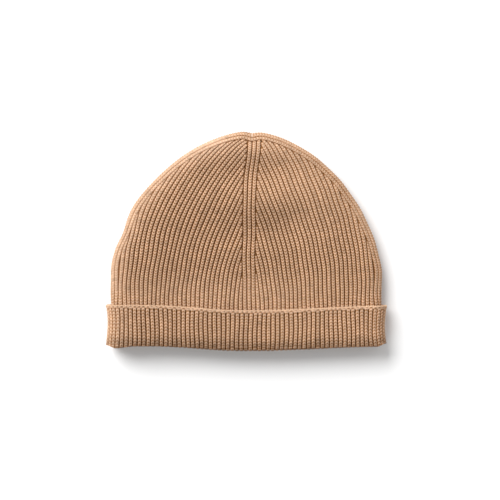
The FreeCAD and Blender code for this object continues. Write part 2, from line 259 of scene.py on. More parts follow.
def body_z(x, y, side):
    """The outer face's height above the plan point (x, y); side is 1 in front and -1 behind."""
    reach = np.clip(outline_reach(x, y), 0, 1) ** (1 / OUTLINE_POWER)
    loose = smooth(y, *FLARE_Y)
    power = NECK_EDGE + ((FRONT_EDGE if side > 0 else BACK_EDGE) - NECK_EDGE) * loose
    middle, half = section_at(y)
    return middle + side * half * np.sqrt(1 - reach**power)


def body_points(x, y, side):
    """Points on the outer face with their outward normals."""
    step = 0.05
    z = body_z(x, y, side)
    slope_x = (body_z(x + step, y, side) - body_z(x - step, y, side)) / (2 * step)
    slope_y = (body_z(x, y + step, side) - body_z(x, y - step, side)) / (2 * step)
    normals = unit(np.stack([-side * slope_x, -side * slope_y, np.full_like(z, side)], 1))
    return np.stack([x, y, z], 1), normals


def spine_x(y):
    """The spine lies a little to the right, and more so near the tip."""
    return SPINE_PLACE + SPINE_DRIFT * smooth(y, *SPINE_Y)


def zone(x, y, sides):
    """1 inside a zone of the cloth, 0 outside it, and a smooth step between."""
    values = {"right": x, "left": -x, "out": np.abs(x), "up": y, "down": y}
    share = 1.0
    for side, (start, full) in sides.items():
        value = outline_reach(x, y) if side == "rim" else values[side]
        share = share * smooth(value, start, full)
    return share


def waves(x, y, table):
    """The sum of a table of long waves in the cloth."""
    return sum(high * np.sin(x / across + y / up + phase) for high, across, up, phase in table)


def hollow_at(x, y, depth, middle, reach):
    """How deep a round hollow in the cloth is at (x, y)."""
    across, up = (x - middle[0]) / reach[0], (y - middle[1]) / reach[1]
    return depth * np.exp(-(across**2 + up**2))


def settle(points):
    """The lie of the cloth: the cuff's lines sag in the middle, and the top has soft waves."""
    x, y, z = (points[:, axis].copy() for axis in range(3))
    rise, reach = (np.where(x < 0, a, b) for a, b in zip(SAG_LEFT, SAG_RIGHT))
    lift = rise * np.interp(y, SAG_Y, SAG_SHARE) + ROLL_FLAT * np.maximum(ROLL_Y - y, 0)
    lift = lift * smooth(np.abs(x) / reach, SAG_START, 1)
    corner = CORNER_DROOP * zone(x, y, LEFT_CORNER) - CORNER_ROUND * zone(x, y, CORNERS)
    points[:, 1] = y + lift - corner - hollow_at(x, y, *TIP_GATHER)

    waist = np.sin(np.pi * np.clip((y - WAIST_LOW) / WAIST_LENGTH, 0, 1))
    waist = CUFF_WAIST * waist * zone(x, y, CUFF_ENDS)
    shift = TIP_SKEW * zone(x, y, UPPER_HALF) + SIDE_DENT * zone(x, y, LEFT_DENT)
    points[:, 0] = x + shift + waves(x, y, MEANDERS) - np.sign(x) * waist

    ripple = np.cos(2 * np.pi * (y - RIPPLE_RIDGE) / RIPPLE_STEP)
    ripple *= np.exp(-(((x - RIPPLE_X) / RIPPLE_REACH) ** 2)) * zone(x, y, RIPPLE_ZONE)
    relief = waves(x, y, TOP_WAVES) + RIPPLE * ripple
    for hollow in (BOWL, RIGHT_HOLLOW, TIP_HOLLOW):
        relief -= hollow_at(x, y, *hollow)
    points[:, 2] = z + smooth(z, *TOP_Z) * zone(x, y, TOP_ZONE) * relief
    return points


def painted_groove_light(points):
    """How much lighter the grooves are painted by zone, or darker if negative: painted light and
    shade.
    """
    x, y = points[:, 0], points[:, 1]
    left_rim = zone(x, y, LEFT_RIM)
    groove_paint = LEFT_RIM_LIGHT * left_rim
    groove_paint += sum(share * zone(x, y, sides) for share, sides in LIGHTER_GROOVE_ZONES)
    groove_paint += sum(share * zone(x, y, sides) for share, sides in INNER_ZONES) * (1 - left_rim)
    return groove_paint


def fold_outside(points):
    """1 on the outside of the fold at its lowest, where its painted shade is darkest, to 0
    further up.
    """
    past = points[:, 1] - ROLL_Y
    above = np.abs(points[:, 2] - MIDDLE) - (CUFF_TOP - ROLL_RADIUS - MIDDLE)
    outside = smooth(np.hypot(past, above), *FOLD_SHELL)
    return outside * smooth(points[:, 1], FOLD_Y + FOLD_FADE, FOLD_Y)


# ---------------------------------------------------------------- meshes of tubes
BAKE_MARGIN_U, BAKE_MARGIN_V = 0.04, 0.005


class Knit:
    """Collects closed tubes, and makes one mesh of them with its coordinates and attributes."""

    def __init__(self):
        self.points, self.openness, self.tone, self.yarn = [], [], [], []
        self.faces, self.totals, self.strips = [], [], []
        self.count = 0

    def add(self, grid, openness, tone, yarn):
        """One tube: grid has its rows of points, each row going once round it."""
        rows, columns = grid.shape[:2]
        index = self.count + np.arange(rows * columns).reshape(rows, columns)
        after = np.roll(index, -1, axis=1)
        quads = np.stack([index[:-1], after[:-1], after[1:], index[1:]], 2).reshape(-1, 4)
        caps = np.concatenate([index[0][::-1], index[-1]])
        across = np.arange(columns)
        u0 = np.tile(across, rows - 1) / columns
        v0 = np.repeat(np.arange(rows - 1), columns) / (rows - 1)
        du, dv = 1 / columns, 1 / (rows - 1)
        corners = [(u0, v0), (u0 + du, v0), (u0 + du, v0 + dv), (u0, v0 + dv)]
        quad_uv = np.stack([np.stack(corner, 1) for corner in corners], 1).reshape(-1, 2)
        low = np.stack([across[::-1] / columns, np.zeros(columns)], 1)
        high = np.stack([across / columns, np.ones(columns)], 1)
        self.points.append(grid.reshape(-1, 3))
        self.openness.append(openness.reshape(-1))
        self.tone.append(tone.reshape(-1))
        self.yarn.append(yarn.reshape(-1, 3))
        self.faces.append(np.concatenate([quads.reshape(-1), caps]))
        self.totals.append(np.concatenate([np.full(len(quads), 4), [columns, columns]]))
        self.strips.append(np.concatenate([quad_uv, low, high]))
        self.count += rows * columns

    def unwrapped(self):
        """Each tube is a strip of its own in the bake's map."""
        share = 1 / len(self.strips)
        laid = []
        for number, strip in enumerate(self.strips):
            u = (number + BAKE_MARGIN_U + (1 - 2 * BAKE_MARGIN_U) * strip[:, 0]) * share
            v = BAKE_MARGIN_V + (1 - 2 * BAKE_MARGIN_V) * strip[:, 1]
            laid.append(np.stack([u, v], 1))
        return np.concatenate(laid)

    def build(self, name, material):
        """The Blender object, smooth shaded, in metres."""
        plain = np.concatenate(self.points)
        openness = np.concatenate(self.openness)
        # Painted light and shade in the grooves, raised or lowered by zone.
        openness = openness + (1 - openness) * painted_groove_light(plain)
        # Painted shade: the fold's outside is darker in tone.
        tone = np.concatenate(self.tone) - FOLD_SHADE * fold_outside(plain)
        points = settle(plain.copy()) * MM
        loops = np.concatenate(self.faces).astype(np.int32)
        totals = np.concatenate(self.totals).astype(np.int32)
        starts = np.concatenate([[0], np.cumsum(totals)[:-1]]).astype(np.int32)
        mesh = bpy.data.meshes.new(name)
        mesh.vertices.add(len(points))
        mesh.vertices.foreach_set("co", points.astype(np.float32).ravel())
        mesh.loops.add(len(loops))
        mesh.loops.foreach_set("vertex_index", loops)
        mesh.polygons.add(len(totals))
        mesh.polygons.foreach_set("loop_start", starts)
        mesh.polygons.foreach_set("loop_total", totals)
        mesh.polygons.foreach_set("use_smooth", np.ones(len(totals), bool))
        mesh.update(calc_edges=True)
        mesh.validate()
        baked = mesh.uv_layers.new(name="OFBake")
        baked.uv.foreach_set("vector", self.unwrapped().astype(np.float32).ravel())
        for key, values in (("openness", openness), ("tone", tone)):
            layer = mesh.attributes.new(key, "FLOAT", "POINT")
            layer.data.foreach_set("value", values.astype(np.float32))
        layer = mesh.attributes.new("yarn", "FLOAT_VECTOR", "POINT")
        layer.data.foreach_set("vector", np.concatenate(self.yarn).astype(np.float32).ravel())
        obj = bpy.data.objects.new(name, mesh)
        bpy.context.collection.objects.link(obj)
        mesh.materials.append(material)
        return obj


def arc_lengths(points):
    """The running length along a row of points."""
    return np.concatenate([[0], np.cumsum(np.linalg.norm(np.diff(points, axis=0), axis=1))])


def along(path, step):
    """Even stations on a path, as shares of its points' numbers, about step apart."""
    length = arc_lengths(path)
    count = max(int(round(length[-1] / step)) + 1, 4)
    return np.interp(np.linspace(0, length[-1], count), length, np.arange(len(path)))


def pick(values, stations):
    """Values, one or several to a point, read at the stations."""
    numbers = np.arange(len(values))
    if values.ndim == 1:
        return np.interp(stations, numbers, values)
    return np.stack([np.interp(stations, numbers, column) for column in values.T], 1)


def rounded(s):
    """How far below its crest a rib's face is, from 0 at its middle to 1 in the groove."""
    return 1 - np.sqrt(np.clip(1 - (s / RIB_SHARE) ** 2, 0, 1))


def tapered(path, length, least):
    """A rib's size along its path: 1, then less over its last length, to the root of least."""
    run = arc_lengths(path)
    return np.sqrt(np.clip((run[-1] - run) / length, least, 1))


def rib(knit, path, normals, half_width, size=None, both=False, ply=PLY):
    """One rib: a closed tube whose outer face follows path in the direction of knitting."""
    stations = along(path, ROW)
    centre, up = pick(path, stations), pick(normals, stations)
    half = pick(np.broadcast_to(half_width, len(path)).astype(float), stations)
    size = np.ones(len(centre)) if size is None else pick(size, stations)
    forward = unit(np.gradient(centre, axis=0))
    across = unit(np.cross(forward, up))
    up = np.cross(across, forward)

    rows = np.arange(len(centre))
    start = rng.integers(3)
    crease = ROW_CREASE[(rows + start) % 3]
    stitch = (rows + start) // 3
    stitch_tone = rng.normal(0, STITCH_TONE, stitch[-1] + 1)[stitch] + rng.normal(0, RIB_TONE)
    wobble = 1 + WOBBLE * np.sin(rows / WOBBLE_ROWS + rng.uniform(0, ANY_PHASE))
    wobble = wobble + RIB_HEIGHTS * rng.normal()
    relief = np.clip(half / (BODY_PITCH / 2), RELIEF_LEAST, RELIEF_MOST) * size

    s = np.concatenate([OUTER_S, DOUBLE_S if both else PLAIN_S])
    outer = np.arange(len(s)) < len(OUTER_S)
    knitted = outer | both
    between_legs = np.abs(s) < CREST
    depth = np.where(outer, -1.0, (ply - 1) / (PLY - 1)) * GROOVE * rounded(s)
    legs = np.where(knitted, np.clip(1 - np.abs(s) ** 4, 0, 1), 0)
    middle = np.where(knitted & between_legs, MID_CREASE, 0)
    inward = np.where(outer, -1.0, 1.0)

    height = depth[None] * (relief * wobble)[:, None]
    height = height + inward * (middle + CREASE * legs * crease[:, None]) * size[:, None]
    height = height - np.where(outer, 0, ply)
    sunk = (1 - size)[:, None] * np.where(outer, 1.0, 0)
    run = arc_lengths(centre)
    level_ends = np.clip(np.minimum(run, run[-1] - run) / STITCH, 0, 1)
    shift = CHEVRON * np.abs(s)[None] * (np.minimum(1, half / V_HALF) * level_ends)[:, None]
    side = s[None] * (half * OVERLAP)[:, None]
    side = side * (END_WIDTH + (1 - END_WIDTH) * size)[:, None]
    grid = (
        centre[:, None]
        + across[:, None] * side[..., None]
        + up[:, None] * (height - sunk)[..., None]
        + forward[:, None] * shift[..., None]
    )

    # Painted shade in the colour: darker towards the groove, in the creases and between the legs,
    # on a plain underside and at a tapered end.
    crease_shade = np.interp(np.abs(s), CREASE_S, CREASE_SHADE) * crease[:, None]
    openness = CREST_OPEN - GROOVE_SHADE * rounded(s)[None] - crease_shade
    openness = np.where(knitted, openness - LEG_SHADE * between_legs, UNDER_OPEN)
    openness = openness * np.clip(END_OPEN + (1 - END_OPEN) * size, 0, 1)[:, None]
    length = np.broadcast_to(rows[:, None] * ROW, side.shape)
    yarn = np.stack(
        [
            length * math.cos(LEG_ANGLE) + np.abs(side) * math.sin(LEG_ANGLE),
            np.abs(side) * math.cos(LEG_ANGLE) - length * math.sin(LEG_ANGLE),
            np.full_like(side, rng.uniform(0, YARN_SPREAD)) + np.sign(side) * LEG_APART,
        ],
        2,
    )
    tone = np.broadcast_to(stitch_tone[:, None], openness.shape)
    knit.add(grid, np.clip(openness, 0, 1), tone, yarn)


# ---------------------------------------------------------------- plan curves of the body
# How many points the outline's straight part, its curve and the whole are drawn with.
STRAIGHT_POINTS, CURVE_POINTS, OUTLINE_POINTS = 60, 400, 480
# How far in from the outline a band's rib may lie, and with how many points that is searched.
INSET_REACH, INSET_POINTS = 14, 90
# The panels are laid out on rows this far apart, and their ribs are counted at COUNT_Y.
# Above the panel's top its edge is PAST_TIP, and ribs with fewer rows are left out.
GRID_STEP = 0.5
GRID_Y = np.arange(BODY_LOW, TIP_Y, GRID_STEP)
COUNT_Y, COUNT_POINTS = -40.0, 900
PAST_TIP = -20
FEWEST_ROWS = 12
# The purl ground's columns and rows, its tucks under the spine and the band, and its thickness;
# GROUND_OPEN paints it dark as shade between the ribs.
GROUND_COLUMNS, GROUND_ROWS = 26, 4
SPINE_TUCK, BAND_TUCK = 1.5, 1.2
GROUND_THICK, GROUND_OPEN, GROUND_LEAST = 0.6, 0.30, 1.0


def outline_path():
    """The right side's outline in plan, from the fold to the tip, with its outward normals."""
    straight = np.linspace(BODY_LOW, CROWN_Y, STRAIGHT_POINTS)[:-1]
    turn = np.linspace(0, math.pi / 2, CURVE_POINTS)
    x = BODY_WIDTH * np.cos(turn) ** (2 / OUTLINE_POWER)
    y = CROWN_Y + CROWN_LENGTH * np.sin(turn) ** (2 / OUTLINE_POWER)
    foot = np.stack([np.full_like(straight, BODY_WIDTH), straight], 1)
    plan = np.concatenate([foot, np.stack([x, y], 1)])
    run = arc_lengths(plan)
    even = np.linspace(0, run[-1], OUTLINE_POINTS)
    plan = np.stack([np.interp(even, run, plan[:, 0]), np.interp(even, run, plan[:, 1])], 1)
    step = unit(np.gradient(plan, axis=0))
    return plan, np.stack([step[:, 1], -step[:, 0]], 1)


def inset_line(plan, outward, distance, side):
    """The line on the outer face that keeps one distance, over the surface, from the outline."""
    reach = INSET_REACH * np.linspace(0, 1, INSET_POINTS) ** 2
    beside, least_ahead = 0.5, 0.05
    points, normals = [], []
    for place, out in zip(plan, outward):
        x = place[0] - reach * out[0]
        y = place[1] - reach * out[1]
        z = body_z(x, y, side)
        z[0] = section_at(place[1])[0]
        run = arc_lengths(np.stack([reach, z], 1))
        inset = np.interp(distance, run, reach)
        height = np.interp(distance, run, z)
        further, nearer = distance + beside, distance - beside
        ahead = np.interp(further, run, reach) - np.interp(nearer, run, reach)
        rise = side * (np.interp(further, run, z) - np.interp(nearer, run, z))
        tilt = np.array([out[0] * rise, out[1] * rise, side * max(ahead, least_ahead)])
        points.append([place[0] - inset * out[0], place[1] - inset * out[1], height])
        normals.append(tilt / np.linalg.norm(tilt))
    return np.array(points), np.array(normals)


PLAN, OUTWARD = outline_path()


def band_edge(side):
    """How far out the panels reach at each height, where the side band begins."""
    line, _ = inset_line(PLAN, OUTWARD, BAND_HALF * BODY_PITCH, side)
    rising = np.maximum.accumulate(line[:, 1])
    edge = np.interp(GRID_Y, rising, line[:, 0], right=PAST_TIP)
    return np.where(GRID_Y > line[-1, 1], PAST_TIP, edge)


def groove_lines(side, hand, edge):
    """The panel's grooves from the spine to the side band: their x at each height."""
    x = BODY_WIDTH * (1 - (1 - np.linspace(0, 1, COUNT_POINTS)) ** 2)
    run = arc_lengths(np.stack([x, body_z(x, np.full_like(x, COUNT_Y), side)], 1))
    start = SPINE_HALF * BODY_PITCH + hand * SPINE_PLACE
    stop = np.interp(np.interp(COUNT_Y, GRID_Y, edge), x, run)
    count = int(round((stop - start) / BODY_PITCH))
    line = np.interp(np.linspace(start, stop, count + 1), run, x)
    straighter = RIGHT_STRAIGHTER if hand > 0 else 1.0
    lines = [line]
    for y in GRID_Y[:-1]:
        share = (y - CROWN_Y) / CROWN_LENGTH
        width = max(float(outline_width(np.array(y))), 1.0)
        near = np.interp(share, LEAN_SHARE, LEAN_SPINE)
        far = np.interp(share, LEAN_SHARE, LEAN_SIDE)
        outward = np.clip(line / width, 0, 1)
        lean = np.radians(straighter * (near + (far - near) * outward))
        line = line - GRID_STEP * np.tan(lean)
        lines.append(line)
    lines = np.array(lines).T
    lines[-1] = np.where(GRID_Y < COUNT_Y, edge, lines[-1])
    return lines


def smoothed(values, reach=5):
    """A running mean that keeps the ends."""
    padded = np.pad(values, reach, mode="reflect", reflect_type="odd")
    return np.convolve(padded, np.ones(2 * reach + 1) / (2 * reach + 1), mode="valid")


def ground(knit, side, hand, spine_edge, band_side):
    """The purl ground that the panel's ribs stand on: a thin sheet from the spine to the band."""
    share = np.linspace(0, 1, GROUND_COLUMNS)
    loops = []
    for number in range(0, len(GRID_Y), GROUND_ROWS):
        near, far = spine_edge[number] - SPINE_TUCK, band_side[number] + BAND_TUCK
        if far - near < GROUND_LEAST:
            break
        x = hand * (near + (far - near) * share)
        points, normals = body_points(x, np.full_like(x, GRID_Y[number]), side)
        top = points - GROOVE * normals
        under = (points - (GROOVE + GROUND_THICK) * normals)[::-1]
        loops.append(np.concatenate([top, under]))
    grid = np.array(loops)
    if side * hand < 0:
        grid = grid[:, ::-1]
    flat = np.zeros(grid.shape[:2])
    # Painted shade: the ground is given the low openness GROUND_OPEN, near the groove colour.
    knit.add(grid, flat + GROUND_OPEN, flat, grid)


def quarter(name, side, hand, material):
    """One quarter panel: its ribs end one by one against the spine and the side band."""
    knit = Knit()
    edge = band_edge(side)
    lines = groove_lines(side, hand, edge)
    spine_edge = hand * spine_x(GRID_Y) + SPINE_HALF * BODY_PITCH
    ground(knit, side, hand, spine_edge, edge)
    for inner, outer in zip(lines[:-1], lines[1:]):
        left, right = np.maximum(inner, spine_edge), np.minimum(outer, edge)
        narrow = right - left < NARROWEST * BODY_PITCH
        stop = int(np.argmax(narrow)) if narrow.any() else len(GRID_Y)
        if stop < FEWEST_ROWS:
            continue
        y = GRID_Y[:stop]
        left, right = smoothed(left[:stop]), smoothed(right[:stop])
        path, normals = body_points(hand * (left + right) / 2, y, side)
        low, _ = body_points(hand * left, y, side)
        high, _ = body_points(hand * right, y, side)
        forward = unit(np.gradient(path, axis=0))
        span = high - low
        span -= forward * np.sum(span * forward, axis=1)[:, None]
        half = np.linalg.norm(span, axis=1) / 2
        rib(knit, path, normals, half, tapered(path, length=2.0, least=0.12))
    return knit.build(name, material)


def spine(name, side, material):
    """Three ribs up the middle, ending under the side bands at the tip."""
    knit = Knit()
    edge = band_edge(side)
    for place in (-1, 0, 1):
        x = spine_x(GRID_Y) + place * BODY_PITCH
        stop = int(np.argmax(edge < np.abs(x) - BAND_TUCK))
        path, normals = body_points(x[:stop], GRID_Y[:stop], side)
        rib(knit, path, normals, BODY_PITCH / 2, tapered(path, length=1.6, least=0.3))
    return knit.build(name, material)


def side_band(name, hand, material):
    """Five ribs that follow the outline from the fold to the tip, where the two bands meet."""
    knit = Knit()
    flip = np.array([hand, 1, 1])

    def follow(line, normals):
        keep = line[:, 0] > max(hand * TIP_MEET, 0)
        line, normals = line[keep], normals[keep]
        if hand < 0:
            line = np.vstack([line, line[-1] - [line[-1, 0] + TIP_MEET, 0, 0]])
            normals = np.vstack([normals, normals[-1]])
        rib(knit, line * flip, normals * flip, BODY_PITCH / 2)

    level = section_at(PLAN[:, 1])[0]
    out = np.column_stack([OUTWARD, np.zeros(len(PLAN))])
    follow(np.column_stack([PLAN, level]), out)
    for side in (1, -1):
        for place in (1, 2):
            line, normals = inset_line(PLAN, OUTWARD, place * BODY_PITCH, side)
            follow(line, normals)
    return knit.build(name, material)


# ---------------------------------------------------------------- the cuff
# The cuff is flat up to FLAT_X, with half-round side folds. These are squashed to about the
# middle of the ply, CURL_LEVEL above or below the hat's middle height.
CURL = MIDDLE - SPLIT_ROOM
FLAT_X = CUFF_WIDTH - CURL
CUFF_HALF_ROUND = FLAT_X + CURL * math.pi / 2
CUFF_PITCH = CUFF_HALF_ROUND / CUFF_RIBS
LAST_FLAT_RIB = int(FLAT_X / CUFF_PITCH + 0.5) - 1
CAST_TUCK = 1.5
CUFF_POINTS = 30

# The cast-on edge: an arch of yarn over each rib, its foot, its rise and how square it is, its
# half spread in pitches and its lean, and then its yarn's radius, flatness and tone.
EDGE_DEPTH = 1.45
ARCH_POINTS = 13
ARCH_FOOT, ARCH_RISE, ARCH_SQUARE = 0.4, 2.0, 0.75
ARCH_SPREAD, ARCH_LEAN = 0.48, 0.35
ARCH_YARN, ARCH_FLAT, ARCH_TONE = 0.52, 2.6, 0.3
# The chain's link beside each arch: its half length in pitches, its height and how that
# changes along it, how far it stands out and how it bows, and its yarn's radius and tone.
LINK_POINTS = 9
LINK_REACH, LINK_HEIGHT, LINK_SLANT = 0.66, 2.25, 0.8
LINK_OUT, LINK_BOW = 1.0, 1.8
LINK_YARN, LINK_TONE = 0.40, 0.8
UP_THE_HAT = np.array([0, 1, 0])


def cuff_place(distance, side):
    """The outer face's x and z, and its normal, at a distance round from the middle."""
    hand = math.copysign(1, distance)
    turned = max(abs(distance) - FLAT_X, 0) / CURL
    x = min(abs(distance), FLAT_X) + CURL * math.sin(turned)
    z = CUFF_TOP - CURL + CURL * math.cos(turned)
    normal = np.array([hand * math.sin(turned), 0, side * math.cos(turned)])
    return hand * x, z if side > 0 else CUFF_TOP - z, normal


def cuff_ribs(name, side, numbers, material):
    """The turn-up's ribs with these numbers, from the cast-on edge down to the fold."""
    knit = Knit()
    y = np.linspace(CAST_Y + CAST_TUCK, BODY_LOW, CUFF_POINTS)
    for number in numbers:
        x, z, normal = cuff_place(number * CUFF_PITCH, side)
        path = np.column_stack([np.full_like(y, x), y, np.full_like(y, z)])
        rib(knit, path, np.tile(normal, (len(y), 1)), CUFF_PITCH / 2, both=True)
    return knit.build(name, material)


def fold_ribs(name, side, numbers, material):
    """The half turn that joins the turn-up to the body, for the ribs with these numbers."""
    knit = Knit()
    turn = np.linspace(0, math.pi, CUFF_POINTS)
    turn = np.concatenate([turn[:1], turn, turn[-1:]])[:, None]
    lead = np.pad(np.zeros(CUFF_POINTS), 1, constant_values=HINGE_ROOM)[:, None]
    for number in numbers:
        x, z, normal = cuff_place(number * CUFF_PITCH, side)
        axis = np.array([x, ROLL_Y, z]) - ROLL_RADIUS * normal
        around = np.cos(turn) * normal - np.sin(turn) * UP_THE_HAT
        path = axis + ROLL_RADIUS * around + lead * UP_THE_HAT
        rib(knit, path, around, CUFF_PITCH / 2, both=True, ply=FOLD_PLY)
    return knit.build(name, material)


def strand(knit, path, radius, ring=8, flat=1.0, up=(0, 0, 1), tone=0.0):
    """A round yarn along a path; flat stretches it along up."""
    texture_step = 0.6
    forward = unit(np.gradient(path, axis=0))
    across = np.cross(forward, np.broadcast_to(up, path.shape))
    length = np.linalg.norm(across, axis=1)[:, None]
    across = across / np.maximum(length, 1e-6)
    lift = np.cross(across, forward)
    turn = np.arange(ring) * 2 * math.pi / ring
    round_x = np.cos(turn)[None, :, None] * radius
    round_z = np.sin(turn)[None, :, None] * radius * flat
    grid = path[:, None] - across[:, None] * round_x + lift[:, None] * round_z
    openness = np.full(grid.shape[:2], STRAND_OPEN)
    yarn = np.stack(
        [
            np.broadcast_to(np.arange(len(path))[:, None] * texture_step, openness.shape),
            np.broadcast_to(np.sin(turn) * radius, openness.shape),
            np.full(openness.shape, rng.uniform(0, YARN_SPREAD)),
        ],
        2,
    )
    tones = np.full(openness.shape, tone + rng.normal(0, STRAND_TONE))
    knit.add(grid, openness, tones, yarn)


def edge_loops(name, side, numbers, material):
    """The cast-on edge: an arch of yarn over each rib, and a chain strand along its foot."""
    knit = Knit()
    turn = np.linspace(0, math.pi, ARCH_POINTS)
    rise = ARCH_FOOT + ARCH_RISE * np.sin(turn) ** ARCH_SQUARE
    spread = ARCH_LEAN * np.sin(turn) - ARCH_SPREAD * CUFF_PITCH * np.cos(turn)
    link = np.linspace(-LINK_REACH, LINK_REACH, LINK_POINTS)
    height = LINK_HEIGHT + LINK_SLANT * link
    out = LINK_OUT - LINK_BOW * link**2
    for number in numbers:
        x, z, normal = cuff_place(number * CUFF_PITCH, side)
        along_edge = np.array([normal[2] * side, 0, -normal[0] * side])
        centre = np.array([x, CAST_Y, z]) - EDGE_DEPTH * normal
        arch = centre + spread[:, None] * along_edge + rise[:, None] * UP_THE_HAT
        strand(knit, arch, ARCH_YARN, flat=ARCH_FLAT, up=normal, tone=ARCH_TONE)
        chain = centre + (link * CUFF_PITCH)[:, None] * along_edge
        chain = chain + height[:, None] * UP_THE_HAT + out[:, None] * normal
        strand(knit, chain, LINK_YARN, up=normal, tone=LINK_TONE)
    return knit.build(name, material)


# ---------------------------------------------------------------- sewing inside the hat
SEWING_YARN = 0.5
# The overcast seam: from turn to turn, its ends' margin, its half width and rise, its lift off
# the knit, and its tone.
SEAM_PITCH, SEAM_MARGIN = 3.2, 1
SEAM_HALF, SEAM_RISE, SEAM_LIFT, SEAM_TONE = 0.75, 0.5, 0.15, -0.3
SEAM_TURN_POINTS = 12
# The knot is a trefoil: its ring, how far the ring sways, and its depth, as shares of the box.
KNOT_RING, KNOT_SWAY, KNOT_DEPTH = 0.62, 0.26, 0.8
KNOT_POINTS = 73
# The label's tape: its thickness, how round its folded end is, how much of its box it fills,
# and half the gap between its layers, at its ends and more between.
TAPE_THICK, TAPE_ROUND, TAPE_FILL = 0.22, 1.6, 0.985
TAPE_GAP, TAPE_BULGE = 0.16, 0.10
TAPE_ROWS, TAPE_COLUMNS = 67, 13


def linking_seam(name, material):
    """The back seam on the inside: an overcast yarn that winds up the centre back."""
    knit = Knit()
    low, high = box_mm("back_seam")
    turns = int((high[1] - low[1]) / SEAM_PITCH)
    around = np.linspace(0, 2 * math.pi * turns, SEAM_TURN_POINTS * turns)
    y = np.linspace(low[1] + SEAM_MARGIN, high[1] - SEAM_MARGIN, len(around))
    inside = body_z(np.zeros_like(y), y, -1) + PLY
    z = inside + SEAM_LIFT + SEAM_RISE * np.sin(around)
    path = np.column_stack([SEAM_HALF * np.cos(around), y, z])
    strand(knit, path, SEWING_YARN, ring=6, tone=SEAM_TONE)
    return knit.build(name, material)


def closing_knot(name, material):
    """The crown's closing yarn: a small overhand knot inside the tip."""
    knit = Knit()
    low, high = box_mm("crown_closing_yarn")
    middle, half = (low + high) / 2, (high - low) / 2
    turn = np.linspace(0, 2 * math.pi, KNOT_POINTS)[:-1]
    ring = KNOT_RING + KNOT_SWAY * np.cos(3 * turn)
    path = np.column_stack(
        [
            ring * np.cos(2 * turn) * half[0],
            KNOT_DEPTH * np.sin(3 * turn) * half[1],
            ring * np.sin(2 * turn) * half[2],
        ]
    )
    strand(knit, middle + path, SEWING_YARN, up=(0, 1, 0))
    return knit.build(name, material)


def tape_faces(rows, columns):
    """The faces of a thin tape: two layers of points, and the edges that join them."""
    layers = np.arange(2 * rows * columns).reshape(2, rows, columns)

    def quads(*corners):
        return np.stack(corners, -1).reshape(-1, 4).tolist()

    under, top = layers
    faces = quads(top[:-1, :-1], top[:-1, 1:], top[1:, 1:], top[1:, :-1])
    faces += quads(under[:-1, :-1], under[1:, :-1], under[1:, 1:], under[:-1, 1:])
    for low, high in (layers[:, :, 0], layers[:, :, -1], layers[:, 0], layers[:, -1]):
        faces += quads(low[:-1], high[:-1], high[1:], low[1:])
    return faces


def folded_label(name, material):
    """A blank care label: a tape folded in two, both ends caught in the back seam."""
    low, high = box_mm("care_label")
    width, length = high[0] - low[0], high[1] - low[1]
    run = np.linspace(-1, 1, TAPE_ROWS)
    x = low[0] + width * (1 - np.abs(run) ** TAPE_ROUND) * TAPE_FILL
    gap = TAPE_GAP + TAPE_BULGE * np.sin(np.pi * np.abs(run))
    opening = 1 - (1 - np.abs(run)) ** 3
    z = (low[2] + high[2]) / 2 + np.sign(run) * gap * opening
    slope = unit(np.gradient(np.column_stack([x, z]), axis=0))
    points = []
    for thick in (-TAPE_THICK / 2, TAPE_THICK / 2):
        for place_x, place_z, (along_x, along_z) in zip(x, z, slope):
            for y in np.linspace(low[1], high[1], TAPE_COLUMNS):
                points.append([place_x - thick * along_z, y, place_z + thick * along_x])
    mesh = bpy.data.meshes.new(name)
    mesh.from_pydata((np.array(points) * MM).tolist(), [], tape_faces(TAPE_ROWS, TAPE_COLUMNS))
    mesh.validate()
    obj = bpy.data.objects.new(name, mesh)
    bpy.context.collection.objects.link(obj)
    bpy.context.view_layer.objects.active = obj
    obj.select_set(True)
    bpy.ops.object.mode_set(mode="EDIT")
    bpy.ops.mesh.select_all(action="SELECT")
    bpy.ops.mesh.normals_make_consistent(inside=False)
    bpy.ops.object.mode_set(mode="OBJECT")
    obj.select_set(False)
    mesh.polygons.foreach_set("use_smooth", np.ones(len(mesh.polygons), bool))
    mesh.materials.append(material)
    return obj, (2 * width * MM, length * MM)


# ---------------------------------------------------------------- materials
# The wool's colours from crest to groove: the darker flank and groove colours are painted shade.
KNIT_CREST = (0.632, 0.428, 0.296)
KNIT_FLANK = (0.340, 0.156, 0.058)
KNIT_GROOVE = (0.080, 0.024, 0.005)
EDGE_CREST = (0.62, 0.410, 0.270)
EDGE_FLANK = (0.40, 0.205, 0.10)
EDGE_GROOVE = (0.15, 0.060, 0.022)
LINKING_CREST = (0.50, 0.32, 0.19)
WOOL_SHEEN = (1.0, 0.72, 0.48, 1)
TAPE_DARK, TAPE_LIGHT = (0.72, 0.68, 0.60, 1), (0.86, 0.83, 0.77, 1)
# Where on the ramp from groove to crest the three colours lie.
GROOVE_AT, FLANK_AT, CREST_AT = 0.12, 0.46, 0.88
# The three noises in the wool, along the fibres, in the heather and over the whole hat: each
# one's scale, detail and roughness, and how much it changes the brightness.
FIBRE_NOISE, FIBRE_SHARE = (1.6, 3.0, 0.6), 0.95
HEATHER_NOISE, HEATHER_SHARE = (480.0, 2.0, 0.6), 0.55
BROAD_NOISE, BROAD_SHARE = (16.0, 2.0, 0.5), 0.22
FIBRE_STRETCH = (0.55, 2.6, 1.0)
TONE_SHARE = 0.07


def new_material(name):
    """A material with its nodes, its links and its shader."""
    material = bpy.data.materials.new(name)
    material.use_nodes = True
    tree = material.node_tree
    return material, tree.nodes, tree.links, tree.nodes["Principled BSDF"]


def add_bump(nodes, links, shader, height, strength, distance):
    """Raises the surface's texture by a height from 0 to 1."""
    bump = nodes.new("ShaderNodeBump")
    bump.inputs["Strength"].default_value = strength
    bump.inputs["Distance"].default_value = distance
    links.new(height, bump.inputs["Height"])
    links.new(bump.outputs["Normal"], shader.inputs["Normal"])


